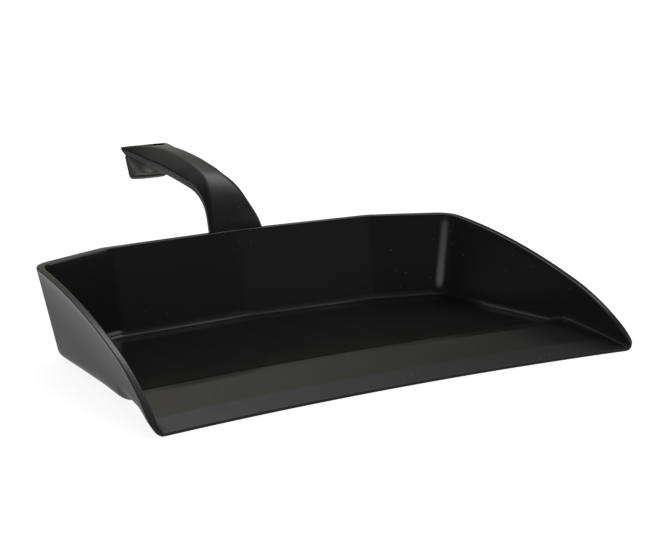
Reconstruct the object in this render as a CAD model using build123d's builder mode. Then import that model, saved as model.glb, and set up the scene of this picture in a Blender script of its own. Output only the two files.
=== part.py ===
from build123d import *

import os
from math import asin, cos, degrees, radians, sin, sqrt

# Hand dustpan: a shallow tray with a thin bowed lip, a low dam behind it, and an arched grip at the back.
# The article is one moulding. It is divided here along its feature lines into zones that meet face to face.
# Millimetres. +Z is up, the mouth faces -Y, the grip points to +Y, and the part is symmetric about X = 0.
# A value named "back" is a distance behind the line through the two sharp lip corners.

# Tray, outside, at the rim
mouth_width = 297.4
rim_height = 52.0
wall = 4.0
rear_back = 184.2
break_half_width = 88.0
break_back = 179.0
corner_half_width = 138.0
corner_back = 160.8
corner_radius = 15.0

# How far the foot of the wall stands inside the rim above it, the rounding between wall and floor, and the
# strip of plain floor between the cove and the floor zone
rear_lean = 11.4
break_side_lean = 2.2
corner_side_lean = 10.2
corner_rear_lean = 6.2
mouth_side_lean = 2.7
base_edge_radius = 10.0
cove_radius = 4.5
zone_margin = 2.2

# Rim line seen from the side: a long arc that is level at the back, then a nose down to the lip
rim_arc_radius = 440.0
nose_back = 48.0
nose_tip_height = 3.0

# Middle section of the floor. Distances run from the lip's edge to the crease behind the lip strip, the
# crest of the ramp, the end of the dam's narrow land, and the valley where the floor begins.
lip_bow = 8.8
lip_corner_radius = 5.0
lip_edge = 1.4
crease_run = 15.0
crease_height = 4.4
crease_radius = 12.0
crest_run = 40.7
crest_height = 8.05
crest_radius = 3.0
land_run = 46.8
land_height = 8.2
land_radius = 4.0
valley_run = 57.0
valley_height = 5.2
valley_radius = 7.0
floor_thickness = 2.8

# Underside of the lip and the dam
under_crease_height = 2.6
under_crest_run = 41.5
under_crest_height = 6.2
under_crest_radius = 4.0
under_valley_run = 48.5
under_valley_height = 3.6
under_valley_radius = 12.0

# Middle line of the handle seen from the side: a straight root on the rear wall, a bend, a long shallow arch
root_back = 183.8
root_height = 49.0
root_angle = 70.0
root_drop = 17.0
bend_radius = 44.0
bend_turn = 59.0
arch_radius = 290.0
arch_turn = 17.15

# Six-sided sections of the handle: widths of the upper face, of the widest line and of the underside; then
# the heights of the upper face and the widest line above the middle line, and the depth of the underside
root_face = 34.0
root_width = 34.4
root_under = 30.5
root_rise = 3.9
root_side = 2.5
root_depth = 3.9
neck_face = 21.0
neck_width = 27.5
neck_under = 25.0
neck_rise = 4.0
neck_side = 1.0
neck_depth = 4.4
throat_face = 11.0
throat_width = 25.5
throat_under = 22.5
throat_rise = 5.0
throat_side = 0.0
throat_depth = 6.0
grip_face = 10.0
grip_width = 28.0
grip_under = 22.0
grip_rise = 6.0
grip_side = 0.2
grip_depth = 6.6
eye_face = 18.5
eye_width = 28.2
eye_under = 22.0
eye_rise = 5.7
eye_side = 1.8
eye_depth = 4.6
end_face = 28.2
end_width = 28.4
end_under = 22.0
end_rise = 4.0
end_side = 3.4
end_depth = 2.5

# Where the grip section begins and ends, as shares of the middle line's length
grip_start_share = 0.55
grip_end_share = 0.75

# Hanging eye, and the hook: a tongue that runs down and forward from the far end
eye_diameter = 12.6
eye_from_end = 18.0
hook_drop = 14.9
hook_run = 11.0
hook_reach = 22.0
hook_front_low = 3.0
hook_front_high = 5.5
hook_front_slope = 1.0
hook_root = 5.5
hook_overlap = 0.5
hook_tip_radius = 2.0
hook_corner_radius = 9.0

# Reach past the solids that cutting shapes need
spare = 12.0


def after_bend(back, height, angle, radius, turn):
    """Where a downward bend ends, and the angle it ends at."""
    after = angle - radians(turn)
    return back + radius * (sin(angle) - sin(after)), height + radius * (cos(after) - cos(angle)), after


bend_end = after_bend(root_back, root_height, radians(root_angle), bend_radius, bend_turn)
end_back, end_height, end_angle = after_bend(*bend_end, arch_radius, arch_turn)

# The origin lies under the middle of the overall length, from the rounded lip corners to the handle's end
half_mouth = mouth_width / 2
bow_radius = (half_mouth**2 + lip_bow**2) / (2 * lip_bow)
corner_centre = sqrt((bow_radius + lip_corner_radius) ** 2 - (half_mouth - lip_corner_radius) ** 2)
foremost_back = lip_bow - bow_radius + corner_centre - lip_corner_radius
rearmost_back = end_back - end_rise * sin(end_angle)
front = -(foremost_back + rearmost_back) / 2
ground = Plane((0, front, 0))
side = Plane((0, front, 0), x_dir=(0, 1, 0), z_dir=(1, 0, 0))
bow_axis = Axis((0, front + lip_bow - bow_radius, 0), (0, 0, 1))


def outline(plane, front_half, corner, rear_break, rear, radius):
    """Plan of the tray at one level: straight sides, two end facets and a barely bent back."""
    right = [(front_half, -spare), corner, rear_break]
    left = [(-x, y) for x, y in reversed(right)]
    with BuildSketch(plane) as plan:
        with BuildLine():
            Polyline(*right, (0, rear), *left, close=True)
        make_face()
        fillet(plan.vertices().group_by(Axis.Y)[1], radius)
    return plan.sketch


def tray(inset):
    """Solid with the tray's leaning sides, all moved in by inset, from the ground to above the rim."""
    outlines = []
    for height in (0, rim_height + spare):
        lean = 1 - height / rim_height
        corner = (corner_half_width - corner_side_lean * lean, corner_back - corner_rear_lean * lean)
        rear_break = (break_half_width - break_side_lean * lean, break_back - rear_lean * lean)
        above_tip = (height - nose_tip_height) / rim_height
        front_half = half_mouth + mouth_side_lean * above_tip
        flare = (front_half - corner[0]) / corner[1]
        outlines.append(outline(
            ground.offset(height),
            front_half - inset + flare * spare,
            (corner[0] - inset, corner[1] - inset),
            (rear_break[0] - inset / 2, rear_break[1] - inset),
            rear_back - rear_lean * lean - inset,
            corner_radius - inset,
        ))
    with BuildPart() as solid:
        loft(outlines, ruled=True)
    return solid.part


def below(profile, radii):
    """Everything under a section of the floor, which is turned about the bow's axis."""
    swing = asin((half_mouth + spare) / bow_radius)
    across = (cos(swing), -sin(swing), 0)
    section_plane = Plane(bow_axis.position, x_dir=(sin(swing), cos(swing), 0), z_dir=across)
    points = [(bow_radius + run, height) for run, height in profile]
    deep = -2 * spare
    with BuildPart() as solid:
        with BuildSketch(section_plane) as section:
            with BuildLine():
                Polyline(*points, (points[-1][0], deep), (points[0][0], deep), close=True)
            make_face()
            for point, radius in zip(points[1:-1], radii):
                fillet(section.vertices().sort_by_distance(point)[0], radius)
        revolve(axis=bow_axis, revolution_arc=2 * degrees(swing))
    return solid.part


def run_on(first, second, run):
    """Point on the line through two points, at the given run."""
    share = (run - first[0]) / (second[0] - first[0])
    return run, first[1] + share * (second[1] - first[1])


def foot_edges(solid):
    """Edges between the floor and the walls, from the lip round the back to the lip."""
    edges = []
    for edge in solid.edges():
        box = edge.bounding_box()
        if box.max.Z < land_height + 1 and box.max.Y > front and box.size.X < half_mouth:
            edges.append(edge)
    return edges


# Sections of the floor's top and underside, each carried on past the lip and past the rear wall
far_run = rear_back + spare
foot_run = rear_back - rear_lean - lip_bow
crease = (crease_run, crease_height)
crest = (crest_run, crest_height)
land_end = (land_run, land_height)
valley = (valley_run, valley_height)
before_lip = run_on((0, lip_edge), crease, -spare)
past_rear = run_on(valley, (foot_run, floor_thickness), far_run)
top_radii = (crease_radius, crest_radius, land_radius, valley_radius)
floor_top = below([before_lip, crease, crest, land_end, valley, past_rear], top_radii)

under_crease = (crease_run, under_crease_height)
under_crest = (under_crest_run, under_crest_height)
under_valley = (under_valley_run, under_valley_height)
under_lip = run_on((0, 0), under_crease, -spare)
under_rear = run_on(under_valley, (foot_run, 0), far_run)
under_radii = (crease_radius, under_crest_radius, under_valley_radius)
floor_under = below([under_lip, under_crease, under_crest, under_valley, under_rear], under_radii)

# Everything above the rim line
nose_angle = asin((rear_back - nose_back) / rim_arc_radius)
nose_height = rim_height - rim_arc_radius * (1 - cos(nose_angle))
with BuildPart() as over_rim:
    with BuildSketch(side.offset(-mouth_width)):
        with BuildLine():
            RadiusArc((nose_back, nose_height), (rear_back, rim_height), rim_arc_radius)
            forward = (-cos(nose_angle), -sin(nose_angle))
            TangentArc((nose_back, nose_height), (0, nose_tip_height), tangent=forward)
            Polyline(
                (0, nose_tip_height),
                (-spare, nose_tip_height),
                (-spare, rim_height + 2 * spare),
                (rear_back + 2 * spare, rim_height + 2 * spare),
                (rear_back + 2 * spare, rim_height),
                (rear_back, rim_height),
            )
        make_face()
    extrude(amount=2 * mouth_width)

# Plan of the mouth: the bowed lip with its two rounded corners
with BuildPart() as mouth:
    with BuildSketch(ground.offset(-spare)) as mouth_plan:
        with BuildLine():
            ThreePointArc((-half_mouth, 0), (0, lip_bow), (half_mouth, 0))
            Polyline(
                (half_mouth, 0),
                (half_mouth, rear_back + 2 * spare),
                (-half_mouth, rear_back + 2 * spare),
                (-half_mouth, 0),
            )
        make_face()
        fillet(mouth_plan.vertices().group_by(Axis.Y)[0], lip_corner_radius)
    extrude(amount=rim_height + 3 * spare)

# Space inside the tray, with a cove all round the floor
with BuildPart() as hollow:
    add(tray(wall))
    add(floor_top, mode=Mode.SUBTRACT)
    fillet(foot_edges(hollow), cove_radius)

# The tray filled up to its rim
with BuildPart() as block:
    add(tray(0))
    add(floor_under, mode=Mode.SUBTRACT)
    fillet(foot_edges(block), base_edge_radius)
    add(mouth.part, mode=Mode.INTERSECT)
    add(over_rim.part, mode=Mode.SUBTRACT)

# The whole tray before it is divided
with BuildPart() as pan:
    add(block.part)
    add(hollow.part, mode=Mode.SUBTRACT)

# The floor zone lies inside the cove, clear of its edge, and the wall zone is the rest
floor_zone = tray(wall + cove_radius + zone_margin)


def floor_strip(first, last):
    """Stretch of the floor zone between two distances from the lip's edge."""
    with BuildPart() as piece:
        add(pan.part)
        add(floor_zone, mode=Mode.INTERSECT)
        with Locations(bow_axis.position):
            Cylinder(bow_radius + last, 4 * rim_height, mode=Mode.INTERSECT)
            if first > 0:
                Cylinder(bow_radius + first, 4 * rim_height, mode=Mode.SUBTRACT)
    return piece.part


def wall_stretch(x_first, x_last, back_first, back_last):
    """Stretch of the wall zone above a rectangle of the plan."""
    with BuildPart() as piece:
        add(pan.part)
        add(floor_zone, mode=Mode.SUBTRACT)
        with BuildSketch(ground.offset(-spare)):
            with Locations(((x_first + x_last) / 2, (back_first + back_last) / 2)):
                Rectangle(x_last - x_first, back_last - back_first)
        extrude(amount=2 * rim_height, mode=Mode.INTERSECT)
    return piece.part


# Handle: six-sided sections square to the middle line, joined smoothly
with BuildLine(side) as middle_line:
    rising = (cos(radians(root_angle)), sin(radians(root_angle)))
    Line((root_back - root_drop * rising[0], root_height - root_drop * rising[1]), (root_back, root_height))
    bend = JernArc((root_back, root_height), rising, bend_radius, -bend_turn)
    JernArc(bend @ 1, bend % 1, arch_radius, -arch_turn)
line = middle_line.wire()
root_share = root_drop / line.length
bend_share = root_share + bend_radius * radians(bend_turn) / line.length


def across_handle(share):
    """Plane square to the middle line, with X across the handle and Y away from its underside."""
    return Plane(line @ share, x_dir=(1, 0, 0), z_dir=-(line % share))


def handle_section(share, face, width, under, rise, shoulder, depth):
    """Six-sided section of the handle at a share of its middle line."""
    right = [(face / 2, rise), (width / 2, shoulder), (under / 2, -depth)]
    left = [(-x, y) for x, y in reversed(right)]
    with BuildSketch(across_handle(share)) as sketch:
        with BuildLine():
            Polyline(*right, *left, close=True)
        make_face()
    return sketch.sketch


root_sizes = (root_face, root_width, root_under, root_rise, root_side, root_depth)
grip_sizes = (grip_face, grip_width, grip_under, grip_rise, grip_side, grip_depth)
neck_share = (root_share + bend_share) / 2
eye_share = (grip_end_share + 1) / 2
sections = [
    handle_section(0, *root_sizes),
    handle_section(root_share, *root_sizes),
    handle_section(neck_share, neck_face, neck_width, neck_under, neck_rise, neck_side, neck_depth),
    handle_section(bend_share, throat_face, throat_width, throat_under, throat_rise, throat_side, throat_depth),
    handle_section(grip_start_share, *grip_sizes),
    handle_section(grip_end_share, *grip_sizes),
    handle_section(eye_share, eye_face, eye_width, eye_under, eye_rise, eye_side, eye_depth),
    handle_section(1, end_face, end_width, end_under, end_rise, end_side, end_depth),
]
with BuildPart() as handle:
    loft(sections)
    add(block.part, mode=Mode.SUBTRACT)


def handle_length(first, last):
    """Stretch of the handle between two shares of its middle line."""
    with BuildPart() as piece:
        add(handle.part)
        if first > 0:
            split(bisect_by=across_handle(first), keep=Keep.BOTTOM)
        if last < 1:
            split(bisect_by=across_handle(last), keep=Keep.TOP)
    return piece.part


# Far end of the handle with the hanging eye through it
with BuildPart() as handle_end:
    add(handle_length(grip_end_share, 1))
    with Locations((0, front + end_back - eye_from_end, end_height)):
        Cylinder(eye_diameter / 2, 4 * spare, mode=Mode.SUBTRACT)

# Hook below the far end: its side view, with the plan of a rounded tongue
tip = (end_back - hook_run, end_height - hook_drop)
front_back = end_back - hook_reach
with BuildPart() as hook:
    with BuildSketch(side.offset(-end_width / 2)) as hook_side:
        with BuildLine():
            Polyline(
                (end_back, end_height + end_side),
                tip,
                (front_back + hook_front_slope, tip[1] + hook_front_low),
                (front_back, tip[1] + hook_front_high),
                (end_back - hook_root, end_height - end_depth + hook_overlap),
                (end_back - hook_root, end_height + end_side),
                close=True,
            )
        make_face()
        fillet(hook_side.vertices().sort_by_distance(tip)[0], hook_tip_radius)
    extrude(amount=end_width)
    with BuildSketch(ground) as hook_plan:
        with Locations((0, end_back - hook_reach / 2)):
            Rectangle(end_width, hook_reach)
        fillet(hook_plan.vertices().group_by(Axis.Y)[0], hook_corner_radius)
    extrude(amount=2 * end_height, mode=Mode.INTERSECT)
    add(handle.part, mode=Mode.SUBTRACT)

side_end_back = corner_back - corner_radius - wall
beyond = 2 * rear_back
pieces = {
    "front_lip": floor_strip(0, crease_run),
    "front_dam": floor_strip(crease_run, valley_run),
    "floor_panel": floor_strip(valley_run, beyond),
    "left_wall": wall_stretch(-mouth_width, 0, -spare, side_end_back),
    "right_wall": wall_stretch(0, mouth_width, -spare, side_end_back),
    "rear_corner_left": wall_stretch(-mouth_width, -break_half_width, side_end_back, beyond),
    "rear_corner_right": wall_stretch(break_half_width, mouth_width, side_end_back, beyond),
    "rear_wall": wall_stretch(-break_half_width, break_half_width, side_end_back, beyond),
    "handle_root": handle_length(0, bend_share),
    "handle_grip": handle_length(bend_share, grip_end_share),
    "handle_end": handle_end.part,
    "handle_hook": hook.part,
}
os.makedirs("parts", exist_ok=True)
for name, piece in pieces.items():
    piece.label = name
    export_step(piece, f"parts/{name}.step")
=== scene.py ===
from math import asin, atan2, cos, degrees, hypot, pi, radians, sin, sqrt, tan

import bpy
import bmesh
import numpy as np
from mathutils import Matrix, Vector


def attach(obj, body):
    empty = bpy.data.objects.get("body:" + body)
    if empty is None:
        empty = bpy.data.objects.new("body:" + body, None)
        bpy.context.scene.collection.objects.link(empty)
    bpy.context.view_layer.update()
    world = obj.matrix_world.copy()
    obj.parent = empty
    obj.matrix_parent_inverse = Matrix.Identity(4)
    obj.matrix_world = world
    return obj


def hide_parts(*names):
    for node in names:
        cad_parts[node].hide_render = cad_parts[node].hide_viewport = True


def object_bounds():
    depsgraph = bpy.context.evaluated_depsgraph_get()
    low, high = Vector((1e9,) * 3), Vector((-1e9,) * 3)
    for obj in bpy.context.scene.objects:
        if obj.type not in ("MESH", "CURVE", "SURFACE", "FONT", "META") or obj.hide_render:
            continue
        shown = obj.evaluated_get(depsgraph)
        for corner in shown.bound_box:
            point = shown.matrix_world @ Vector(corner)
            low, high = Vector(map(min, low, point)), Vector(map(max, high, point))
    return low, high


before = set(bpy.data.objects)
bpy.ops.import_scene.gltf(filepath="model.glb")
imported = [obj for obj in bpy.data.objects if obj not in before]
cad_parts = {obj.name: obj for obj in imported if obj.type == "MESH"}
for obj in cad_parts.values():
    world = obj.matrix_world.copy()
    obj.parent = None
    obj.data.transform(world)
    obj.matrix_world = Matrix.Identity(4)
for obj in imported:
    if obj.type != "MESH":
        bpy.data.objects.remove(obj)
cad_low, cad_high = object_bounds()

MM = 0.001
CLOSE = 1e-6
TINY = 1e-9

# Sizes in millimetres. "Back" is measured from the lip's sharp corners. They are those of the
# part's source, apart from the cove beside the ramp, the rounding of the base, the sections at
# the handle's root and end, and the hook.
MOUTH_WIDTH = 297.4
RIM_HEIGHT = 52.0
WALL = 4.0
REAR_BACK = 184.2
BREAK_HALF_WIDTH = 88.0
BREAK_BACK = 179.0
CORNER_HALF_WIDTH = 138.0
CORNER_BACK = 160.8
CORNER_RADIUS = 15.0
REAR_LEAN = 11.4
BREAK_SIDE_LEAN = 2.2
CORNER_SIDE_LEAN = 10.2
CORNER_REAR_LEAN = 6.2
MOUTH_SIDE_LEAN = 2.7
COVE_RADIUS = 4.5
# The cove's radius by distance from the lip: it is tighter on the ramp than round the floor
COVE_RUNS = (0.0, 38.0, 62.0)
COVE_RADII = (2.6, 3.0, 4.5)
RIM_ARC_RADIUS = 440.0
NOSE_BACK = 48.0
NOSE_TIP_HEIGHT = 3.0
LIP_BOW = 8.8
LIP_CORNER_RADIUS = 5.0
FLOOR_TOP = ((0.0, 1.4), (15.0, 4.4), (40.7, 8.05), (46.8, 8.2), (57.0, 5.2), (164.0, 2.8))
FLOOR_TOP_RADII = (12.0, 3.0, 4.0, 7.0)
FLOOR_UNDER = ((0.0, 0.0), (15.0, 2.6), (41.5, 6.2), (48.5, 3.6), (164.0, 0.0))
FLOOR_UNDER_RADII = (12.0, 4.0, 12.0)
# Rounding between the walls and the underside, by distance from the lip
BASE_RADIUS_RUNS = (0.0, 9.0, 20.0, 36.0, 46.0, 55.0, 75.0, 110.0, 150.0)
BASE_RADII = (6.0, 8.4, 12.0, 11.5, 8.5, 8.5, 9.0, 7.5, 5.0)

ROOT_BACK = 183.8
ROOT_HEIGHT = 49.0
ROOT_ANGLE = 70.0
ROOT_DROP = 17.0
BEND_RADIUS = 44.0
BEND_TURN = 59.0
ARCH_RADIUS = 290.0
ARCH_TURN = 17.15
GRIP_START_SHARE = 0.55
GRIP_END_SHARE = 0.75
EYE_DIAMETER = 12.6
EYE_FROM_END = 18.0
HOOK_WIDTH = 24.4
HOOK_DROP = 15.5
HOOK_RUN = 11.0
HOOK_REACH = 22.0
HOOK_CORNER_RADIUS = 9.0

# Roundings that only the visual model has
RIM_OUTER_ROUND = 0.7
RIM_INNER_ROUND = 0.9
LIP_ROUND = 0.5
HANDLE_EDGE_ROUND = 1.3

# Steps along the stretches of a wall's section, and of a search by halving
COVE_STEPS = 8
WALL_STEPS = 10
BASE_STEPS = 10
RIM_STEPS = 4
ROUND_STEPS = 4
HALVINGS = 40


def after_bend(back, height, angle, radius, turn):
    """Where a downward bend ends, and the angle it ends at."""
    after = angle - radians(turn)
    end_back = back + radius * (sin(angle) - sin(after))
    return end_back, height + radius * (cos(after) - cos(angle)), after


def narrowed(low, high, stays_low):
    """Both ends of a stretch, closed in on the place where what holds at its low end stops."""
    for _ in range(HALVINGS):
        middle = (low + high) / 2
        if stays_low(middle):
            low = middle
        else:
            high = middle
    return low, high


BEND_END = after_bend(ROOT_BACK, ROOT_HEIGHT, radians(ROOT_ANGLE), BEND_RADIUS, BEND_TURN)
END_BACK, END_HEIGHT, _ = after_bend(*BEND_END, ARCH_RADIUS, ARCH_TURN)
HALF_MOUTH = MOUTH_WIDTH / 2
BOW_RADIUS = (HALF_MOUTH**2 + LIP_BOW**2) / (2 * LIP_BOW)
BOW_BACK = LIP_BOW - BOW_RADIUS
LIP_CENTRE_X = HALF_MOUTH - LIP_CORNER_RADIUS
LIP_CENTRE_BACK = BOW_BACK + sqrt((BOW_RADIUS + LIP_CORNER_RADIUS) ** 2 - LIP_CENTRE_X**2)
FRONT = cad_low.y / MM - (LIP_CENTRE_BACK - LIP_CORNER_RADIUS)


# Floor and rim lines

# Spacing of the points on a bend, their least number, and how far a line goes on past its ends
LINE_SPACING = 0.05
FEWEST_BEND_STEPS = 4
LINE_LEAD = 30.0
LINE_TAIL = 40.0


def rounded_line(points, radii):
    """Heights along a bent line with rounded bends, as two arrays for interpolation."""
    slope = (points[1][1] - points[0][1]) / (points[1][0] - points[0][0])
    runs = [points[0][0] - LINE_LEAD]
    heights = [points[0][1] - LINE_LEAD * slope]
    for before, here, after, radius in zip(points, points[1:], points[2:], radii):
        first = atan2(here[1] - before[1], here[0] - before[0])
        last = atan2(after[1] - here[1], after[0] - here[0])
        reach = radius * abs(tan((last - first) / 2))
        side = 1.0 if last > first else -1.0
        centre = (
            here[0] - reach * cos(first) - side * radius * sin(first),
            here[1] - reach * sin(first) + side * radius * cos(first),
        )
        count = max(FEWEST_BEND_STEPS, int(abs(last - first) * radius / LINE_SPACING))
        for step in range(count + 1):
            angle = first + (last - first) * step / count
            runs.append(centre[0] + side * radius * sin(angle))
            heights.append(centre[1] - side * radius * cos(angle))
    slope = (points[-1][1] - points[-2][1]) / (points[-1][0] - points[-2][0])
    runs.append(points[-1][0] + LINE_TAIL)
    heights.append(points[-1][1] + LINE_TAIL * slope)
    return np.array(runs), np.array(heights)


TOP_LINE = rounded_line(FLOOR_TOP, FLOOR_TOP_RADII)
UNDER_LINE = rounded_line(FLOOR_UNDER, FLOOR_UNDER_RADII)


def run_of(x, back):
    """Distance from the bowed lip's edge."""
    return np.hypot(x, back - BOW_BACK) - BOW_RADIUS


def floor_z(x, back):
    """Height of the floor's upper side."""
    return np.interp(run_of(x, back), *TOP_LINE)


def under_z(x, back):
    """Height of the floor's underside."""
    return np.interp(run_of(x, back), *UNDER_LINE)


def base_radius(x, back):
    """Radius of the rounding between wall and underside."""
    return float(np.interp(run_of(x, back), BASE_RADIUS_RUNS, BASE_RADII))


def cove_radius(x, back):
    """Radius of the cove between floor and wall."""
    return float(np.interp(run_of(x, back), COVE_RUNS, COVE_RADII))


NOSE_ANGLE = asin((REAR_BACK - NOSE_BACK) / RIM_ARC_RADIUS)
NOSE_HEIGHT = RIM_HEIGHT - RIM_ARC_RADIUS * (1 - cos(NOSE_ANGLE))
# The nose is an arc that starts along the long arc and ends at the lip's tip
NOSE_CHORD = hypot(NOSE_BACK, NOSE_HEIGHT - NOSE_TIP_HEIGHT)
NOSE_BEND = atan2(NOSE_HEIGHT - NOSE_TIP_HEIGHT, NOSE_BACK) - NOSE_ANGLE
NOSE_RADIUS = NOSE_CHORD / (2 * sin(NOSE_BEND))
NOSE_CENTRE_BACK = NOSE_BACK + NOSE_RADIUS * sin(NOSE_ANGLE)
NOSE_CENTRE_HEIGHT = NOSE_HEIGHT - NOSE_RADIUS * cos(NOSE_ANGLE)


def rim_z(back):
    """Height of the rim line."""
    if back >= NOSE_BACK:
        return RIM_HEIGHT - RIM_ARC_RADIUS + sqrt(RIM_ARC_RADIUS**2 - (REAR_BACK - back) ** 2)
    return NOSE_CENTRE_HEIGHT + sqrt(max(NOSE_RADIUS**2 - (NOSE_CENTRE_BACK - back) ** 2, 0.0))


# Plan of the tray's right half: from the front along the side, round the corner, along the facet
# and to the middle of the back

# How far in front of the lip's corners the line of the side starts
SIDE_LEAD = 12.0


def mouth_half(height):
    """Half of the tray's width at the mouth, at a height."""
    return HALF_MOUTH + MOUTH_SIDE_LEAN * (height - NOSE_TIP_HEIGHT) / RIM_HEIGHT


def corner_at(height):
    """Sharp outer corner between the side and the back, in plan, at a height."""
    lean = 1 - height / RIM_HEIGHT
    return CORNER_HALF_WIDTH - CORNER_SIDE_LEAN * lean, CORNER_BACK - CORNER_REAR_LEAN * lean


def flare_at(height):
    """How much the tray widens towards the mouth on each side, per length."""
    half_width, back = corner_at(height)
    return (mouth_half(height) - half_width) / back


def plan_point(part, share, inset, height):
    """Plan point at a share of one stretch of the outline, moved in by inset, at a height."""
    lean = 1 - height / RIM_HEIGHT
    start_x = mouth_half(height) - inset + flare_at(height) * SIDE_LEAD
    start = np.array((start_x, -SIDE_LEAD))
    corner = np.array(corner_at(height)) - inset
    rear_break = np.array((
        BREAK_HALF_WIDTH - BREAK_SIDE_LEAN * lean - inset / 2,
        BREAK_BACK - REAR_LEAN * lean - inset,
    ))
    rear = np.array((0.0, REAR_BACK - REAR_LEAN * lean - inset))
    along = (corner - start) / np.linalg.norm(corner - start)
    across = (rear_break - corner) / np.linalg.norm(rear_break - corner)
    turn = atan2(across[1], across[0]) - atan2(along[1], along[0])
    radius = CORNER_RADIUS - inset
    reach = radius * tan(turn / 2)
    arc_start = corner - along * reach
    arc_end = corner + across * reach
    if part == "side":
        front_point = start + along * (-start[1] / along[1])
        return front_point + (arc_start - front_point) * share
    if part == "corner":
        centre = arc_start + radius * np.array((-along[1], along[0]))
        angle = atan2(along[1], along[0]) - pi / 2 + turn * share
        return centre + radius * np.array((cos(angle), sin(angle)))
    if part == "facet":
        return arc_end + (rear_break - arc_end) * share
    return rear_break + (rear - rear_break) * share


# The ring where the walls' sections meet the floor: its inset, and the height it is measured at
RING_INSET = WALL + COVE_RADIUS
RING_LEVEL = 3.0
# The lip's sections reach this far in from the edge, and end this far short of the ring's side
LIP_MARGIN = 3.0
LIP_SIDE_MARGIN = 4.0
LIP_SIDE_X = HALF_MOUTH - RING_INSET - LIP_SIDE_MARGIN
# Least thickness at the tip, and how far in the edge may be moved for it, as a share of the section
TIP_THICKNESS = 1.3
TIP_REACH = 0.7
# The side's place and slant in plan near the lip, at the height of the wall there
LIP_LEVEL = 8.0
LIP_HALF = mouth_half(LIP_LEVEL)
LIP_FLARE = flare_at(LIP_LEVEL)
# Rounds in which the height of the rim and its place in plan settle
RIM_ROUNDS = 12


def cove_share(step):
    """Share of the cove's arc at a step. The first step is half as long as the others."""
    return (step - 0.5) / (COVE_STEPS - 0.5)


def arc_up_to(height, radius):
    """Turn of an arc that starts level and rises to a height, a quarter turn at most."""
    return np.arccos(1 - height / radius) if height < radius else pi / 2


def wall_profile(part, share):
    """Both sides of a wall's section, as points (x, back, z): up from the floor, and down again."""
    def place(inset, height):
        x, back = plan_point(part, share, inset, height)
        return np.array((x, back, height))

    def rim_at(inset):
        height = RIM_HEIGHT
        for _ in range(RIM_ROUNDS):
            height = rim_z(plan_point(part, share, inset, height)[1])
        return height

    ring = plan_point(part, share, RING_INSET, RING_LEVEL)
    # Inner side: cove, then the wall up to the rim
    floor = float(floor_z(*ring))
    cove = cove_radius(*ring)
    rim_in = rim_at(WALL)
    turn = arc_up_to(rim_in - floor, cove)
    inner = [(RING_INSET, floor)]
    for step in range(1, COVE_STEPS + 1):
        angle = turn * cove_share(step)
        inner.append((WALL + cove - cove * sin(angle), floor + cove * (1 - cos(angle))))
    inset, foot = inner[-1]
    for step in range(1, WALL_STEPS + 1):
        inner.append((inset, foot + (rim_in - foot) * step / WALL_STEPS))
    # Outer side, from below: the rounded base edge, then the wall up to the rim
    under = float(under_z(*ring))
    base = base_radius(*ring)
    rim_out = rim_at(0.0)
    turn = arc_up_to(rim_out - under, base)
    outer = []
    for step in range(BASE_STEPS + 1):
        angle = turn * step / BASE_STEPS
        outer.append((base * (1 - sin(angle)), under + base * (1 - cos(angle))))
    inset, foot = outer[-1]
    for step in range(1, WALL_STEPS + 1):
        outer.append((inset, foot + (rim_out - foot) * step / WALL_STEPS))
    outer.reverse()
    return [place(*p) for p in inner], [place(*p) for p in outer]


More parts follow.
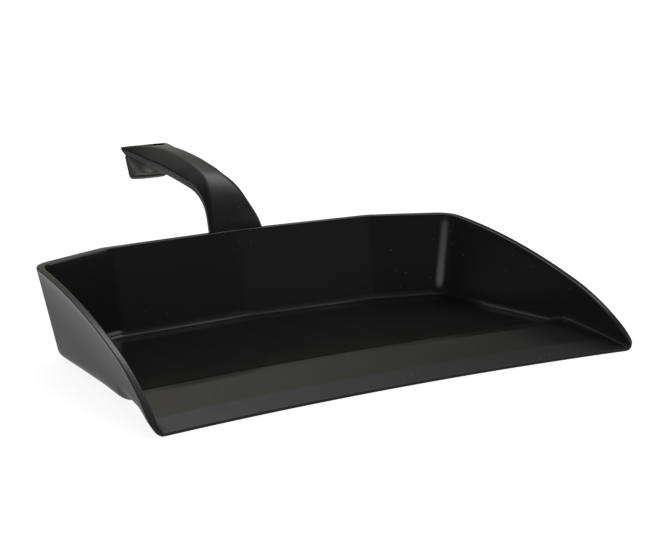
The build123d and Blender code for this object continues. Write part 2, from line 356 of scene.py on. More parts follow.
def lip_profile(edge, ring):
    """Both sides of a section through the lip, or through the front end of a wall, between a plan
    point on the edge and one on the floor's ring."""
    cove = cove_radius(*ring)
    base = base_radius(*ring)
    cove_start = WALL + cove

    def inset_of(point):
        return LIP_HALF - LIP_FLARE * point[1] - point[0]

    def top_z(point, inset):
        height = float(floor_z(*point))
        if inset < cove_start:
            height += cove - sqrt(max(cove**2 - (cove_start - inset) ** 2, 0.0))
        return height

    def low_z(point, inset):
        height = float(under_z(*point))
        if inset < base:
            height += base - sqrt(max(base**2 - (base - inset) ** 2, 0.0))
        return height

    def at(point, height):
        return np.array((point[0], point[1], height))

    def thin(point):
        inset = inset_of(point)
        height = rim_z(point[1])
        if inset >= WALL:
            height = min(height, top_z(point, inset))
        return height - low_z(point, inset) < TIP_THICKNESS

    # At the tip the rounded base meets the rim, and the edge lies where they are a little apart
    if thin(edge):
        outermost = edge
        _, share = narrowed(0.0, TIP_REACH, lambda s: thin(outermost + (ring - outermost) * s))
        edge = outermost + (ring - outermost) * share
    inset_edge = inset_of(edge)
    inset_ring = inset_of(ring)
    span = inset_edge - inset_ring

    def plan(inset):
        share = (inset - inset_ring) / span if abs(span) > TINY else 1.0
        return ring + (edge - ring) * share

    def above_rim(inset):
        point = plan(inset)
        return top_z(point, inset) > rim_z(point[1])

    # The inner surface runs to the wall's face, or to where it meets the rim, or to the edge
    last = max(WALL, inset_edge)
    if inset_edge < cove_start and above_rim(last):
        _, last = narrowed(last, cove_start, above_rim)
    inner = [at(ring, float(floor_z(*ring)))]
    if inset_edge < cove_start:
        turn = asin(min(1.0, (cove_start - last) / cove))
        for step in range(1, COVE_STEPS + 1):
            inset = cove_start - cove * sin(turn * cove_share(step))
            point = plan(inset)
            inner.append(at(point, top_z(point, inset)))
    else:
        for step in range(1, COVE_STEPS + 1):
            point = ring + (edge - ring) * (step / COVE_STEPS)
            inner.append(at(point, float(floor_z(*point))))
    foot = inner[-1]
    wall_top = foot[2]
    edge_top = rim_z(edge[1])
    if inset_edge < last - CLOSE:
        wall_top = max(wall_top, rim_z(foot[1]))
    else:
        edge_top = min(edge_top, wall_top)
    for step in range(1, WALL_STEPS + 1):
        inner.append(at(foot[:2], foot[2] + (wall_top - foot[2]) * step / WALL_STEPS))
    edge_low = low_z(edge, inset_edge)
    outer = []
    for step in range(WALL_STEPS + 1):
        outer.append(at(edge, edge_top + (edge_low - edge_top) * step / WALL_STEPS))
    for step in range(1, BASE_STEPS + 1):
        point = edge + (ring - edge) * (step / BASE_STEPS)
        outer.append(at(point, low_z(point, inset_of(point))))
    return inner, outer


# Most of an edge that a rounding takes, and most of the rim's width that its two roundings take
LONGEST_CUT = 0.45
INNER_ROUND_SHARE = 0.5
OUTER_ROUND_SHARE = 0.4


def rounded_corner(before, corner, after, cut):
    """Points of a rounded corner of a line in the plane or in space."""
    ends = []
    for side in (before - corner, after - corner):
        length = np.linalg.norm(side)
        ends.append(corner + side * (min(cut, LONGEST_CUT * length) / max(length, TINY)))
    points = []
    for step in range(ROUND_STEPS + 1):
        share = step / ROUND_STEPS
        points.append(
            (1 - share) ** 2 * ends[0] + 2 * share * (1 - share) * corner + share**2 * ends[1]
        )
    return points


def respaced(points, last):
    """A straight line of as many evenly spread points, from the first of them to last."""
    shares = np.linspace(0, 1, len(points))[:, None]
    return list(points[0] + (last - points[0]) * shares)


def full_profile(sides, outer_round, inner_round):
    """Joins the two sides of a section over the rim, with rounded edges."""
    inner, outer = sides
    rim_in, rim_out = inner[-1], outer[0]
    wide = np.linalg.norm(rim_out - rim_in)
    inner_cut = min(inner_round, INNER_ROUND_SHARE * wide)
    outer_cut = min(outer_round, OUTER_ROUND_SHARE * wide)
    in_round = rounded_corner(inner[COVE_STEPS], rim_in, rim_out, inner_cut)
    out_round = rounded_corner(rim_in, rim_out, outer[WALL_STEPS], outer_cut)
    inner_wall = respaced(inner[COVE_STEPS:], in_round[0])
    outer_wall = respaced(outer[WALL_STEPS::-1], out_round[-1])[::-1]
    across = out_round[0] - in_round[-1]
    strip = [in_round[-1] + across * step / RIM_STEPS for step in range(1, RIM_STEPS)]
    inside = inner[:COVE_STEPS] + inner_wall[:-1] + in_round
    return inside + strip + out_round + outer_wall[1:] + outer[WALL_STEPS + 1:]


# Stations round the right half of the edge, from the middle of the lip to the middle of the back
FRONT_STATIONS = 36
LIP_CORNER_STATIONS = 24
REAR_CORNER_STATIONS = 12
FACET_STATIONS = 14
# The floor's grid has as many columns at the back as at the lip
FLOOR_COLUMNS = FRONT_STATIONS + LIP_CORNER_STATIONS // 2
REAR_STATIONS = FLOOR_COLUMNS - REAR_CORNER_STATIONS // 2 - FACET_STATIONS
# Steps of the lip corner's arc
LIP_ARC_STEPS = 40


def spread(stretches):
    """Values over several stretches, each given by its start, its end and a spacing."""
    values = []
    for start, end, gap in stretches:
        count = max(1, round((end - start) / gap))
        values += [start + (end - start) * step / count for step in range(count)]
    return values + [stretches[-1][1]]


# Distances from the lip of the sections along the side, close together at the dam's bends. Over
# the last stretch the floor's rows change from the bow of the lip to the shape of the back.
SIDE_START = 8.0
BLEND_START = 70.0
BLEND_END = 150.0
SIDE_RUNS = spread((
    (SIDE_START, 14.0, 1.2), (14.0, 16.0, 0.4), (16.0, 38.8, 1.9), (38.8, 42.4, 0.3),
    (42.4, 45.4, 0.6), (45.4, 48.4, 0.3), (48.4, 55.0, 0.8), (55.0, 59.0, 0.4),
    (59.0, BLEND_START, 2.2), (BLEND_START, BLEND_END, 4.0),
))


def side_share_at(run):
    """Share of the straight side where the floor's ring lies at a run from the lip."""
    def nearer(share):
        return run_of(*plan_point("side", share, RING_INSET, RING_LEVEL)) < run

    return sum(narrowed(0.0, 1.0, nearer)) / 2


def half_stations():
    """Profiles of the right half, from the middle of the lip to the middle of the back."""
    profiles = []
    scale = (BOW_RADIUS + LIP_MARGIN) / BOW_RADIUS
    for step in range(FRONT_STATIONS + 1):
        x = LIP_SIDE_X * step / FRONT_STATIONS
        edge = np.array((x, BOW_BACK + sqrt(BOW_RADIUS**2 - x**2)))
        ring = np.array((x * scale, BOW_BACK + (edge[1] - BOW_BACK) * scale))
        profiles.append(full_profile(lip_profile(edge, ring), LIP_ROUND, LIP_ROUND))
    # Rounded lip corner, from the last of these sections to the side
    first_ring = ring
    side_share = side_share_at(SIDE_START)
    last_ring = plan_point("side", side_share, RING_INSET, RING_LEVEL)
    arc_start = atan2(BOW_BACK - LIP_CENTRE_BACK, -LIP_CENTRE_X)
    path = [edge]
    for step in range(LIP_ARC_STEPS + 1):
        angle = arc_start * (1 - step / LIP_ARC_STEPS)
        x = LIP_CENTRE_X + LIP_CORNER_RADIUS * cos(angle)
        back = LIP_CENTRE_BACK + LIP_CORNER_RADIUS * sin(angle)
        if x > LIP_HALF - LIP_FLARE * back:
            break
        if x > LIP_SIDE_X:
            path.append(np.array((x, back)))
    path.append(plan_point("side", side_share, 0.0, LIP_LEVEL))
    path = np.array(path)
    gaps = np.linalg.norm(np.diff(path, axis=0), axis=1)
    lengths = np.concatenate(([0.0], np.cumsum(gaps)))
    for step in range(1, LIP_CORNER_STATIONS):
        share = step / LIP_CORNER_STATIONS
        where = lengths[-1] * share
        edge = np.array([np.interp(where, lengths, path[:, axis]) for axis in range(2)])
        ring = first_ring + (last_ring - first_ring) * share
        rounding = LIP_ROUND + (RIM_OUTER_ROUND - LIP_ROUND) * share
        inner_round = min(rounding, RIM_INNER_ROUND)
        profiles.append(full_profile(lip_profile(edge, ring), rounding, inner_round))
    # Side, rear corner, facet and back
    places = [("side", side_share_at(run)) for run in SIDE_RUNS[:-1]]
    for part, count in (
        ("corner", REAR_CORNER_STATIONS), ("facet", FACET_STATIONS), ("rear", REAR_STATIONS),
    ):
        places += [(part, step / count) for step in range(count)]
    places.append(("rear", 1.0))
    for place in places:
        profiles.append(full_profile(wall_profile(*place), RIM_OUTER_ROUND, RIM_INNER_ROUND))
    return np.array(profiles)


def smoothstep(value):
    """Soft rise from 0 to 1."""
    value = np.clip(value, 0.0, 1.0)
    return value * value * (3 - 2 * value)


def floor_grid(ring, rows, height_of):
    """Grid of points inside the ring of the right half, in rows from the lip to the back."""
    front = ring[:FLOOR_COLUMNS + 1]
    side = ring[FLOOR_COLUMNS:FLOOR_COLUMNS + rows + 1]
    back = ring[FLOOR_COLUMNS + rows:][::-1]
    grid = np.zeros((rows + 1, FLOOR_COLUMNS + 1, 3))
    front_share = front[:, 0] / front[-1, 0]
    back_share = back[:, 0] / back[-1, 0]
    side_runs = run_of(side[:, 0], side[:, 1])
    last_bow = BOW_BACK + np.sqrt((BOW_RADIUS + side_runs[-1]) ** 2 - back[:, 0] ** 2)
    departure = back[:, 1] - last_bow
    for row, run in enumerate(side_runs):
        blend = float(smoothstep((run - BLEND_START) / (BLEND_END - BLEND_START)))
        lift = smoothstep((run - BLEND_START) / (side_runs[-1] - BLEND_START))
        x = side[row, 0] * ((1 - blend) * front_share + blend * back_share)
        y = BOW_BACK + np.sqrt((BOW_RADIUS + run) ** 2 - x**2) + departure * lift
        grid[row] = np.stack((x, y, height_of(x, y)), axis=-1)
    grid[0] = front
    grid[-1] = back
    grid[:, -1] = side
    return grid


# Meshes

# Points closer than this, in metres, become one
MERGE_DISTANCE = 2e-6


def to_frame(points):
    """Millimetres from the lip to metres in the part's frame."""
    points = np.array(points, float)
    return np.stack((points[..., 0], points[..., 1] + FRONT, points[..., 2]), axis=-1) * MM


class Sheet:
    """Gathers grids and fans of points into one list of vertices and faces."""

    def __init__(self):
        self.vertices = []
        self.faces = []

    def grid(self, points, closed=False):
        """Rows of points. A closed grid also joins its last row to its first."""
        rows, columns = points.shape[:2]
        first = len(self.vertices)
        self.vertices += list(points.reshape(-1, 3))
        for row in range(rows - 1 + closed):
            for column in range(columns - 1):
                a = first + row * columns + column
                b = first + (row + 1) % rows * columns + column
                self.faces.append((a, a + 1, b + 1, b))

    def fan(self, points, centre):
        """Triangles from a ring of points to its centre."""
        first = len(self.vertices)
        count = len(points)
        self.vertices += list(points) + [centre]
        for step in range(count):
            self.faces.append((first + step, first + (step + 1) % count, first + count))

    def made(self, name):
        """A smooth-shaded object with doubled points merged and faces turned outward."""
        mesh = bpy.data.meshes.new(name)
        mesh.from_pydata([tuple(v) for v in self.vertices], [], self.faces)
        work = bmesh.new()
        work.from_mesh(mesh)
        bmesh.ops.remove_doubles(work, verts=work.verts, dist=MERGE_DISTANCE)
        bmesh.ops.dissolve_degenerate(work, edges=work.edges, dist=MERGE_DISTANCE)
        bmesh.ops.recalc_face_normals(work, faces=work.faces)
        for face in work.faces:
            face.smooth = True
        work.to_mesh(mesh)
        work.free()
        made = bpy.data.objects.new(name, mesh)
        bpy.context.scene.collection.objects.link(made)
        return made


def tube(name, rings):
    """An object with a skin over a row of rings and a fan over each end."""
    sheet = Sheet()
    loop = np.array(rings)
    sheet.grid(to_frame(np.concatenate((loop, loop[:, :1]), axis=1)))
    for ring in (rings[0], rings[-1]):
        sheet.fan(to_frame(ring), to_frame(np.mean(ring, axis=0)))
    return sheet.made(name)


def make_pan():
    """The tray as one seamless shell."""
    half = half_stations()
    rows = LIP_CORNER_STATIONS // 2 + len(SIDE_RUNS) - 1 + REAR_CORNER_STATIONS // 2
    mirror = np.array((-1.0, 1.0, 1.0))
    sheet = Sheet()
    loop = np.concatenate((half, half[-2:0:-1] * mirror))
    sheet.grid(to_frame(loop), closed=True)
    for ring, height_of in ((half[:, 0], floor_z), (half[:, -1], under_z)):
        grid = floor_grid(ring, rows, height_of)
        sheet.grid(to_frame(np.concatenate((grid[:, :0:-1] * mirror, grid), axis=1)))
    return sheet.made("pan_shell")


# Handle

# Sections: widths of the upper face, at the widest line and of the underside, then the heights of
# the upper face and of the widest line above the middle line, and the underside's depth below it
SECTIONS = {
    "root": (33.4, 34.4, 30.5, 3.9, 1.9, 3.9),
    "neck": (21.0, 27.5, 25.0, 4.0, 1.0, 4.4),
    "throat": (11.0, 25.5, 22.5, 5.0, 0.0, 6.0),
    "grip": (10.0, 28.0, 22.0, 6.0, 0.2, 6.6),
    "eye": (18.5, 28.2, 22.0, 5.7, 1.8, 4.6),
    "end": (29.8, 30.0, 22.0, 4.0, 3.4, 2.5),
}
BEND_LENGTH = BEND_RADIUS * radians(BEND_TURN)
ARCH_LENGTH = ARCH_RADIUS * radians(ARCH_TURN)
LINE_LENGTH = ROOT_DROP + BEND_LENGTH + ARCH_LENGTH
ROOT_SHARE = ROOT_DROP / LINE_LENGTH
BEND_SHARE = (ROOT_DROP + BEND_LENGTH) / LINE_LENGTH
# Where the sections lie, as shares of the middle line
STATIONS = (
    (0.0, "root"), (ROOT_SHARE, "root"), ((ROOT_SHARE + BEND_SHARE) / 2, "neck"),
    (BEND_SHARE, "throat"), (GRIP_START_SHARE, "grip"), (GRIP_END_SHARE, "grip"),
    ((GRIP_END_SHARE + 1) / 2, "eye"), (1.0, "end"),
)
# Depth of the handle's root behind the rear wall's inner face
ROOT_COVER = 0.9
# Groove of the mould's parting line on both sides: its size, the roundings of its three corners,
# the share of the middle line over which it starts, and the sides of the section that form it
GROOVE_DEPTH = 0.9
GROOVE_WIDTH = 0.9
GROOVE_ROUNDS = (0.4, 0.1, 0.2)
GROOVE_FADE = 0.2
GROOVE_SIDES = (1, 2, 6, 7)
# Points on the section's other sides, as shares
SIDE_POINTS = (0.46, 0.5, 0.54)
# Rings along the handle up to a share of the middle line, and round the edge of its far end
HANDLE_RINGS = 110
LAST_RING_SHARE = 0.985
END_ROUND = 1.2
END_ROUND_STEPS = 5


def steady_curve(knots, values, at):
    """Smooth curve through values that doesn't swing past them."""
    knots, values = np.array(knots), np.array(values)
    gaps = np.diff(knots)
    rates = np.diff(values) / gaps
    slopes = np.zeros(len(knots))
    for i in range(1, len(knots) - 1):
        if rates[i - 1] * rates[i] > 0:
            first = 2 * gaps[i] + gaps[i - 1]
            last = gaps[i] + 2 * gaps[i - 1]
            slopes[i] = (first + last) / (first / rates[i - 1] + last / rates[i])
    slopes[0], slopes[-1] = rates[0], rates[-1]
    i = np.clip(np.searchsorted(knots, at) - 1, 0, len(gaps) - 1)
    t = (at - knots[i]) / gaps[i]
    h00, h10 = (1 + 2 * t) * (1 - t) ** 2, t * (1 - t) ** 2
    h01, h11 = t * t * (3 - 2 * t), t * t * (t - 1)
    start = h00 * values[i] + h10 * gaps[i] * slopes[i]
    return start + h01 * values[i + 1] + h11 * gaps[i] * slopes[i + 1]


def middle_line(share):
    """Point and direction of the handle's middle line, as back, height and an angle."""
    length = share * LINE_LENGTH
    angle = radians(ROOT_ANGLE)
    if length < ROOT_DROP:
        rest = ROOT_DROP - length
        return ROOT_BACK - rest * cos(angle), ROOT_HEIGHT - rest * sin(angle), angle
    length -= ROOT_DROP
    if length < BEND_LENGTH:
        turn = degrees(length / BEND_RADIUS)
        return after_bend(ROOT_BACK, ROOT_HEIGHT, angle, BEND_RADIUS, turn)
    return after_bend(*BEND_END, ARCH_RADIUS, degrees((length - BEND_LENGTH) / ARCH_RADIUS))


def section_points(share, shrink=0.0):
    """Rounded six-sided section with the groove of the mould's parting line, all round."""
    knots = [place for place, _ in STATIONS]
    columns = zip(*(SECTIONS[name] for _, name in STATIONS))
    sizes = [steady_curve(knots, column, share) for column in columns]
    face, width, under, rise, side, depth = sizes
    back, height, angle = middle_line(share)
    if height < RIM_HEIGHT:
        wall_face = REAR_BACK - WALL - REAR_LEAN * (1 - height / RIM_HEIGHT)
        rise = min(rise, (back - wall_face - ROOT_COVER) / sin(angle))
        side = min(side, rise - ROOT_COVER)
    groove = GROOVE_DEPTH * smoothstep((share - BEND_SHARE + GROOVE_FADE / 2) / GROOVE_FADE)
    narrowing = (width - under) / 2 * GROOVE_WIDTH / (side + depth)
    half = width / 2 - shrink
    right = [
        (face / 2 - shrink, rise - shrink, HANDLE_EDGE_ROUND),
        (half, side, GROOVE_ROUNDS[0]),
        (half - groove, side - GROOVE_WIDTH / 2, GROOVE_ROUNDS[1]),
        (half - narrowing, side - GROOVE_WIDTH, GROOVE_ROUNDS[2]),
        (under / 2 - shrink, -depth + shrink, HANDLE_EDGE_ROUND),
    ]
    corners = right + [(-x, y, r) for x, y, r in reversed(right)]
    points = []
    for i, (x, y, radius) in enumerate(corners):
        here = np.array((x, y))
        before = np.array(corners[i - 1][:2])
        after = np.array(corners[(i + 1) % len(corners)][:2])
        points += rounded_corner(before, here, after, radius)
        if i not in GROOVE_SIDES:
            points += [here + (after - here) * mid for mid in SIDE_POINTS]
    return [np.array((x, back - y * sin(angle), height + y * cos(angle))) for x, y in points]


def make_handle():
    """The handle from its root to its far end."""
    rings = [section_points(s) for s in np.linspace(0.0, LAST_RING_SHARE, HANDLE_RINGS)]
    for step in range(1, END_ROUND_STEPS + 1):
        angle = pi / 2 * step / END_ROUND_STEPS
        share = 1.0 - END_ROUND / LINE_LENGTH * (1 - sin(angle))
        rings.append(section_points(share, END_ROUND * (1 - cos(angle))))
    return tube("handle_body", rings)


# Rings of the eye's cutter: height above the handle's end, and how much wider than the eye
EYE_RINGS = ((-12.0, 8.5), (-3.6, 0.0), (6.3, 0.0), (12.0, 5.7))
EYE_STEPS = 64


def make_eye_cutter():
    """A round cutter with flared ends, which leave a small chamfer at both faces of the eye."""
    rings = []
    for rise, flare in EYE_RINGS:
        radius = EYE_DIAMETER / 2 + flare
        ring = []
        for step in range(EYE_STEPS):
            angle = 2 * pi * step / EYE_STEPS
            back = END_BACK - EYE_FROM_END + radius * sin(angle)
            ring.append((radius * cos(angle), back, END_HEIGHT + rise))
        rings.append(ring)
    return tube("eye_cutter", rings)


# Side view of the hook: distances of its root's two corners from the handle's end, and their depth
# below it; how far the front edge leans, and its heights above the tip; and the five roundings
HOOK_ROOT = (0.5, 4.5)
HOOK_ROOT_DEPTH = 1.7
HOOK_FRONT_LEAN = 1.0
HOOK_FRONT_HEIGHTS = (3.0, 5.5)
HOOK_ROUNDS = (0.3, 1.5, 1.0, 1.0, 0.8)
# Rounding of the hook's side edges, and the slices over it and from there to the middle
HOOK_EDGE_ROUND = 1.3
HOOK_EDGE_SLICES = 6
HOOK_SLICES = 14


def make_hook():
    """The tongue under the far end: its side view, carried across with rounded sides and front
    corners."""
    tip = (END_BACK - HOOK_RUN, END_HEIGHT - HOOK_DROP)
    front = END_BACK - HOOK_REACH
    root_height = END_HEIGHT - HOOK_ROOT_DEPTH
    side_view = [
        (END_BACK - HOOK_ROOT[0], root_height),
        tip,
        (front + HOOK_FRONT_LEAN, tip[1] + HOOK_FRONT_HEIGHTS[0]),
        (front, tip[1] + HOOK_FRONT_HEIGHTS[1]),
        (END_BACK - HOOK_ROOT[1], root_height),
    ]
    centre = np.mean(side_view, axis=0)
    half = HOOK_WIDTH / 2
    slices = [
        (-half + HOOK_EDGE_ROUND * (1 - cos(a)), HOOK_EDGE_ROUND * (1 - sin(a)))
        for a in np.linspace(0, pi / 2, HOOK_EDGE_SLICES)
    ]
    slices += [(x, 0.0) for x in np.linspace(-half + HOOK_EDGE_ROUND, 0, HOOK_SLICES)[1:]]
    slices += [(-x, shrink) for x, shrink in reversed(slices[:-1])]
    rings = []
    for x, shrink in slices:
        over = max(0.0, abs(x) - (half - HOOK_CORNER_RADIUS))
        front_cut = HOOK_CORNER_RADIUS - sqrt(max(HOOK_CORNER_RADIUS**2 - over**2, 0.0))
        scale = (HOOK_REACH - front_cut) / HOOK_REACH
        corners = []
        for back, height in side_view:
            moved = np.array((END_BACK - (END_BACK - back) * scale, height))
            inward = centre - moved
            corners.append(moved + inward / np.linalg.norm(inward) * shrink)
        ring = []
        for i, (here, radius) in enumerate(zip(corners, HOOK_ROUNDS)):
            after = corners[(i + 1) % len(corners)]
            ring += rounded_corner(corners[i - 1], here, after, radius)
            ring.append((here + after) / 2)
        rings.append([np.array((x, back, height)) for back, height in ring])
    return tube("hook_tongue", rings)


def cut_out(target, cutter):
    """Takes the cutter out of the target and removes the cutter."""
    modifier = target.modifiers.new("eye", "BOOLEAN")
    modifier.operation = "DIFFERENCE"
    modifier.solver = "EXACT"
    modifier.object = cutter
    depsgraph = bpy.context.evaluated_depsgraph_get()
    mesh = bpy.data.meshes.new_from_object(target.evaluated_get(depsgraph))
    target.modifiers.clear()
    target.data = mesh
    bpy.data.objects.remove(cutter)


def sharpen(target, angle):
    """Shades edges sharp that bend by an angle, in degrees, or more."""
    work = bmesh.new()
    work.from_mesh(target.data)
    for face in work.faces:
        face.smooth = True
    for edge in work.edges:
        edge.smooth = len(edge.link_faces) == 2 and edge.calc_face_angle(0.0) < radians(angle)
    work.to_mesh(target.data)
    work.free()


HANDLE_SHARP_ANGLE = 32
HOOK_SHARP_ANGLE = 40

pan = make_pan()
handle = make_handle()
cut_out(handle, make_eye_cutter())
sharpen(handle, HANDLE_SHARP_ANGLE)
hook = make_hook()
sharpen(hook, HOOK_SHARP_ANGLE)


# Material

class Tree:
    """Short ways to add nodes to a node tree."""

    def __init__(self, owner):
        owner.use_nodes = True
        self.nodes = owner.node_tree.nodes
        self.links = owner.node_tree.links

    def feed(self, socket, value):
        """Links an output to a socket, or sets a constant on it."""
        if isinstance(value, bpy.types.NodeSocket):
            self.links.new(value, socket)
        else:
            socket.default_value = value

    def add(self, kind, **inputs):
        """A node of a kind, with its inputs given by name."""
        node = self.nodes.new(kind)
        for name, value in inputs.items():
            self.feed(node.inputs[name], value)
        return node

    def axes(self, coordinates):
        """The X, Y and Z outputs of a kind of texture coordinates."""
        place = self.add("ShaderNodeTexCoord").outputs[coordinates]
        return self.add("ShaderNodeSeparateXYZ", Vector=place).outputs

    def maths(self, operation, first, second):
        """A sum or a product."""
        node = self.nodes.new("ShaderNodeMath")
        node.operation = operation
        self.feed(node.inputs[0], first)
        self.feed(node.inputs[1], second)
        return node.outputs["Value"]

    def times(self, first, second):
        return self.maths("MULTIPLY", first, second)

    def ranged(self, value, numbers, curve="LINEAR"):
        """A value brought from one range to another: numbers are two inputs and two results."""
        node = self.add("ShaderNodeMapRange", Value=value)
        node.interpolation_type = curve
        for name, number in zip(("From Min", "From Max", "To Min", "To Max"), numbers):
            node.inputs[name].default_value = number
        return node.outputs["Result"]

    def mixed(self, data_type, factor, first, second):
        """Two numbers or colours mixed by a factor."""
        node = self.nodes.new("ShaderNodeMix")
        node.data_type = data_type
        self.feed(node.inputs["Factor"], factor)
        self.feed(node.inputs["A"], first)
        self.feed(node.inputs["B"], second)
        return node.outputs["Result"]


PLASTIC_COLOUR = (0.0212, 0.0212, 0.0212, 1)
CLOUDY_COLOUR = (0.0270, 0.0267, 0.0260, 1)
DUST_COLOUR = (0.16, 0.16, 0.156, 1)
# Painted light: a lighter grey that stands in for the light the hook's inner face catches
HOOK_PAINTED_LIGHT_COLOUR = (0.42, 0.413, 0.385, 1)
REFRACTION = 1.49
# Noises, by scale and detail
CLOUD_NOISE = (22.0, 4.0)
DUST_NOISE = (13.0, 1.0)
HOOK_PAINTED_LIGHT_NOISE = (180.0, 3.0)
GLOSS_NOISE = (60.0, 5.0)
GRAIN_NOISE = (1400.0, 2.0)
# Dust specks: their pattern's scale, their size, and the part of the noise where they lie
SPECK_SCALE = 165.0
SPECK_RANGE = (0.045, 0.075, 1.0, 0.0)
DUST_RANGE = (0.40, 0.56, 0.0, 1.0)
# The hook's inner face, where light is painted: behind a depth, below a height, and facing forward
# and up, with patches
HOOK_BACK_RANGE = (0.112, 0.118, 0.0, 1.0)
HOOK_TOP_RANGE = (0.0800, 0.0815, 1.0, 0.0)
HOOK_FACING = (0.0, -0.6, 0.8)
HOOK_FACING_RANGE = (0.2, 0.5, 0.0, 1.0)
HOOK_PAINTED_LIGHT_RANGE = (0.2, 0.8, 0.6, 1.0)
# Roughness, and what is added to it by height: above the rim the handle is a little more satin
ROUGHNESS_RANGE = (0.3, 0.7, 0.18, 0.22)
SATIN_RANGE = (0.052, 0.057, 0.0, 0.08)
GRAIN_STRENGTH = 0.05
GRAIN_DEPTH = 0.0002


def plastic():
    """Black moulded plastic: satin, with fine grain, faint cloudiness, a few dust specks and
    painted light inside the hook.
    """
    material = bpy.data.materials.new("black_plastic")
    tree = Tree(material)
    shader = tree.nodes["Principled BSDF"]
    place = tree.add("ShaderNodeTexCoord").outputs
    axes = tree.axes("Object")

    def noise(scale, detail):
        made = tree.add("ShaderNodeTexNoise", Vector=place["Object"], Scale=scale, Detail=detail)
        return made.outputs["Fac"]

    colour = tree.mixed("RGBA", noise(*CLOUD_NOISE), PLASTIC_COLOUR, CLOUDY_COLOUR)
    cells = tree.add("ShaderNodeTexVoronoi", Vector=place["Object"], Scale=SPECK_SCALE)
    speck = tree.ranged(cells.outputs["Distance"], SPECK_RANGE)
    dusty = tree.times(speck, tree.ranged(noise(*DUST_NOISE), DUST_RANGE))
    colour = tree.mixed("RGBA", dusty, colour, DUST_COLOUR)

    # Inside the hook, painted light: patches of lighter grey on the face turned forward and up
    # stand in for the light it catches
    facing = tree.nodes.new("ShaderNodeVectorMath")
    facing.operation = "DOT_PRODUCT"
    tree.feed(facing.inputs[0], place["Normal"])
    tree.feed(facing.inputs[1], HOOK_FACING)
    in_hook = tree.times(
        tree.ranged(axes["Y"], HOOK_BACK_RANGE), tree.ranged(axes["Z"], HOOK_TOP_RANGE)
    )
    painted_light_patches = tree.times(
        tree.ranged(facing.outputs["Value"], HOOK_FACING_RANGE),
        tree.ranged(noise(*HOOK_PAINTED_LIGHT_NOISE), HOOK_PAINTED_LIGHT_RANGE),
    )
    colour = tree.mixed("RGBA", tree.times(in_hook, painted_light_patches), colour, HOOK_PAINTED_LIGHT_COLOUR)
    tree.feed(shader.inputs["Base Color"], colour)

    roughness = tree.ranged(noise(*GLOSS_NOISE), ROUGHNESS_RANGE)
    roughness = tree.maths("ADD", roughness, tree.ranged(axes["Z"], SATIN_RANGE))
    tree.feed(shader.inputs["Roughness"], roughness)
    shader.inputs["IOR"].default_value = REFRACTION
    bump = tree.add(
        "ShaderNodeBump", Strength=GRAIN_STRENGTH, Distance=GRAIN_DEPTH, Height=noise(*GRAIN_NOISE)
    )
    tree.feed(shader.inputs["Normal"], bump.outputs["Normal"])
    return material


black = plastic()
TRAY_NODES = (
    "front_lip", "front_dam", "floor_panel", "left_wall", "right_wall",
    "rear_corner_left", "rear_corner_right", "rear_wall",
)
for piece, replaced in (
    (pan, TRAY_NODES),
    (handle, ("handle_root", "handle_grip", "handle_end")),
    (hook, ("handle_hook",)),
):
    piece.data.materials.clear()
    piece.data.materials.append(black)
    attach(piece, "root")
    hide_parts(*replaced)


# Studio

FLOOR_HALF = 4.0
FLOOR_GAP = 0.0003
FLOOR_COLOUR = (0.86, 0.86, 0.86, 1)
# Glow that makes the floor look white to the camera
FLOOR_GLOW_SEEN = 0.87
# Tone of the floor in the object's reflections, a glow painted into the floor: painted light,
# bright at the far left, that fades to painted shade near the object and towards the back
FLOOR_MIRRORED_LEFT = (-0.22, -0.14, 1.95, 0.33)
FLOOR_MIRRORED_BACK = (0.24, 0.38, 1.0, 0.25)
# Tone of the surroundings by height, and how it fades to the front, to the right and to the left
SKY_TONES = (
    (0.0, (0.50, 0.50, 0.50, 1)), (0.24, (0.45, 0.45, 0.44, 1)), (0.34, (0.28, 0.28, 0.24, 1)),
    (0.46, (0.27, 0.272, 0.19, 1)), (0.56, (0.43, 0.409, 0.427, 1)),
    (0.72, (0.78, 0.78, 0.78, 1)), (1.0, (0.45, 0.45, 0.45, 1)),
)
SKY_DEPTH = (-0.45, 0.3, 0.22, 1.0)
SKY_RIGHT = (0.43, 0.66, 1.0, 0.15)
SKY_LEFT = (-0.5, 0.3, 0.1, 1.0)
# Where a tone is added to the ramp, before it gets its own height
NEW_TONE_HEIGHT = 0.5
WHITE = (1, 1, 1, 1)
# Lamps: place, the height above the middle of the part that they aim at, width, height and watts
LAMPS = {
    "overhead": ((0.78, 0.58, 1.3), 0.0, 1.3, 0.40, 2.05),
    "left_front": ((-1.2, -0.9, 0.14), 0.05, 1.0, 0.6, 2.5),
    "left_front_wide": ((-1.2, -0.9, 0.14), 0.05, 1.8, 0.62, 3.2),
    "right_front": ((0.8, -1.4, 0.4), 0.05, 1.1, 1.0, 0.1),
    "right_side": ((1.25, -0.52, 0.78), 0.05, 0.85, 0.85, 2.1),
}


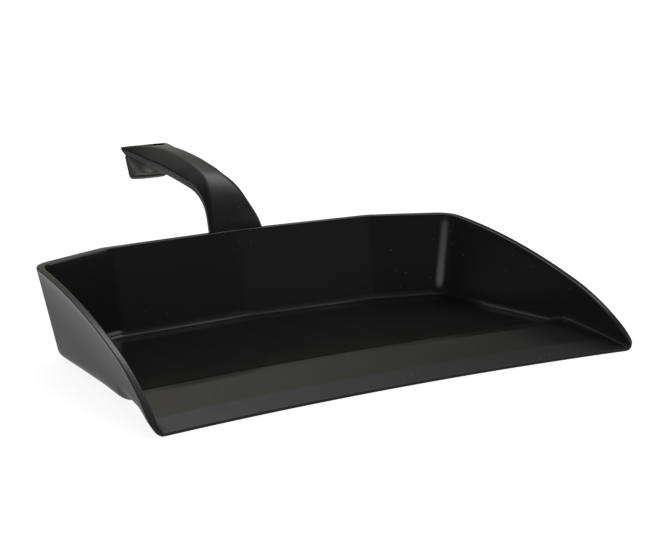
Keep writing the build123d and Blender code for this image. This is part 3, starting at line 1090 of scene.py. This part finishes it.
def make_floor():
    """A wide pale floor that looks white to the camera and keeps the object's shadow."""
    level = cad_low.z - FLOOR_GAP
    signs = ((-1, -1), (1, -1), (1, 1), (-1, 1))
    mesh = bpy.data.meshes.new("floor")
    mesh.from_pydata(
        [(x * FLOOR_HALF, y * FLOOR_HALF, level) for x, y in signs], [], [(0, 1, 2, 3)]
    )
    made = bpy.data.objects.new("floor", mesh)
    bpy.context.scene.collection.objects.link(made)
    material = bpy.data.materials.new("pale_floor")
    tree = Tree(material)
    tree.nodes.remove(tree.nodes["Principled BSDF"])
    rays = tree.add("ShaderNodeLightPath").outputs
    diffuse = tree.add("ShaderNodeBsdfDiffuse", Color=FLOOR_COLOUR)
    seen = tree.times(rays["Is Camera Ray"], FLOOR_GLOW_SEEN)
    glow = tree.add("ShaderNodeEmission", Strength=seen)
    plain = tree.nodes.new("ShaderNodeAddShader")
    tree.feed(plain.inputs[0], diffuse.outputs["BSDF"])
    tree.feed(plain.inputs[1], glow.outputs["Emission"])

    # Painted light and shade for reflections only: a glow brighter at the far left, dimmer near the
    # object and towards the back
    axes = tree.axes("Object")
    tone = tree.times(
        tree.ranged(axes["X"], FLOOR_MIRRORED_LEFT, "SMOOTHSTEP"),
        tree.ranged(axes["Y"], FLOOR_MIRRORED_BACK, "SMOOTHSTEP"),
    )
    mirrored = tree.add("ShaderNodeEmission", Strength=tone)
    chosen = tree.add("ShaderNodeMixShader", Fac=rays["Is Glossy Ray"])
    tree.feed(chosen.inputs[1], plain.outputs["Shader"])
    tree.feed(chosen.inputs[2], mirrored.outputs["Emission"])
    tree.feed(tree.nodes["Material Output"].inputs["Surface"], chosen.outputs["Shader"])
    made.data.materials.append(material)


def make_world():
    """Soft surroundings, dimmer in front and at both sides, and white to the camera."""
    world = bpy.data.worlds.new("studio")
    bpy.context.scene.world = world
    tree = Tree(world)
    axes = tree.axes("Generated")
    ramp = tree.add("ShaderNodeValToRGB", Fac=axes["Z"])
    ramp.color_ramp.interpolation = "EASE"
    elements = ramp.color_ramp.elements
    while len(elements) < len(SKY_TONES):
        elements.new(NEW_TONE_HEIGHT)
    for element, (height, tone) in zip(elements, SKY_TONES):
        element.position = height
        element.color = tone
    level = tree.times(
        tree.ranged(axes["Y"], SKY_DEPTH, "SMOOTHSTEP"),
        tree.times(
            tree.ranged(axes["X"], SKY_RIGHT, "SMOOTHSTEP"),
            tree.ranged(axes["X"], SKY_LEFT, "SMOOTHSTEP"),
        ),
    )
    to_camera = tree.add("ShaderNodeLightPath").outputs["Is Camera Ray"]
    sky = tree.nodes["Background"].inputs
    tree.feed(sky["Color"], tree.mixed("RGBA", to_camera, ramp.outputs["Color"], WHITE))
    tree.feed(sky["Strength"], tree.mixed("FLOAT", to_camera, level, 1.0))


def softbox(name, place, aim, width, height, watts):
    """A soft oval lamp."""
    lamp = bpy.data.lights.new(name, "AREA")
    lamp.shape = "ELLIPSE"
    lamp.size = width
    lamp.size_y = height
    lamp.energy = watts
    made = bpy.data.objects.new(name, lamp)
    made.location = place
    direction = Vector((0, 0, aim)) - Vector(place)
    made.rotation_euler = direction.to_track_quat("-Z", "Y").to_euler()
    bpy.context.scene.collection.objects.link(made)


make_floor()
make_world()
for lamp_name, settings in LAMPS.items():
    softbox(lamp_name, *settings)


# Camera, fitted to the photograph in millimetres, pixels and degrees

FOCAL_PIXELS = 1900.0
IMAGE_WIDTH = 659.0
HALF_PIXEL = 0.5
SENSOR_MM = 36.0
CAMERA_YAW = 32.235
CAMERA_DROP = 13.029
CAMERA_PLACE = (-531.4, -914.76, 276.7)
# Nearest and farthest that the camera sees, in metres
CAMERA_CLIP = (0.01, 50.0)

lens = bpy.data.cameras.new("camera")
lens.sensor_fit = "HORIZONTAL"
lens.sensor_width = SENSOR_MM
lens.lens = FOCAL_PIXELS * SENSOR_MM / IMAGE_WIDTH
lens.shift_x = -HALF_PIXEL / IMAGE_WIDTH
lens.shift_y = HALF_PIXEL / IMAGE_WIDTH
lens.clip_start, lens.clip_end = CAMERA_CLIP
camera = bpy.data.objects.new("camera", lens)
camera.location = [v * MM for v in CAMERA_PLACE]
camera.rotation_euler = (radians(90 - CAMERA_DROP), 0, -radians(CAMERA_YAW))
bpy.context.scene.collection.objects.link(camera)
bpy.context.scene.camera = camera
bpy.context.scene.view_settings.view_transform = "Standard"
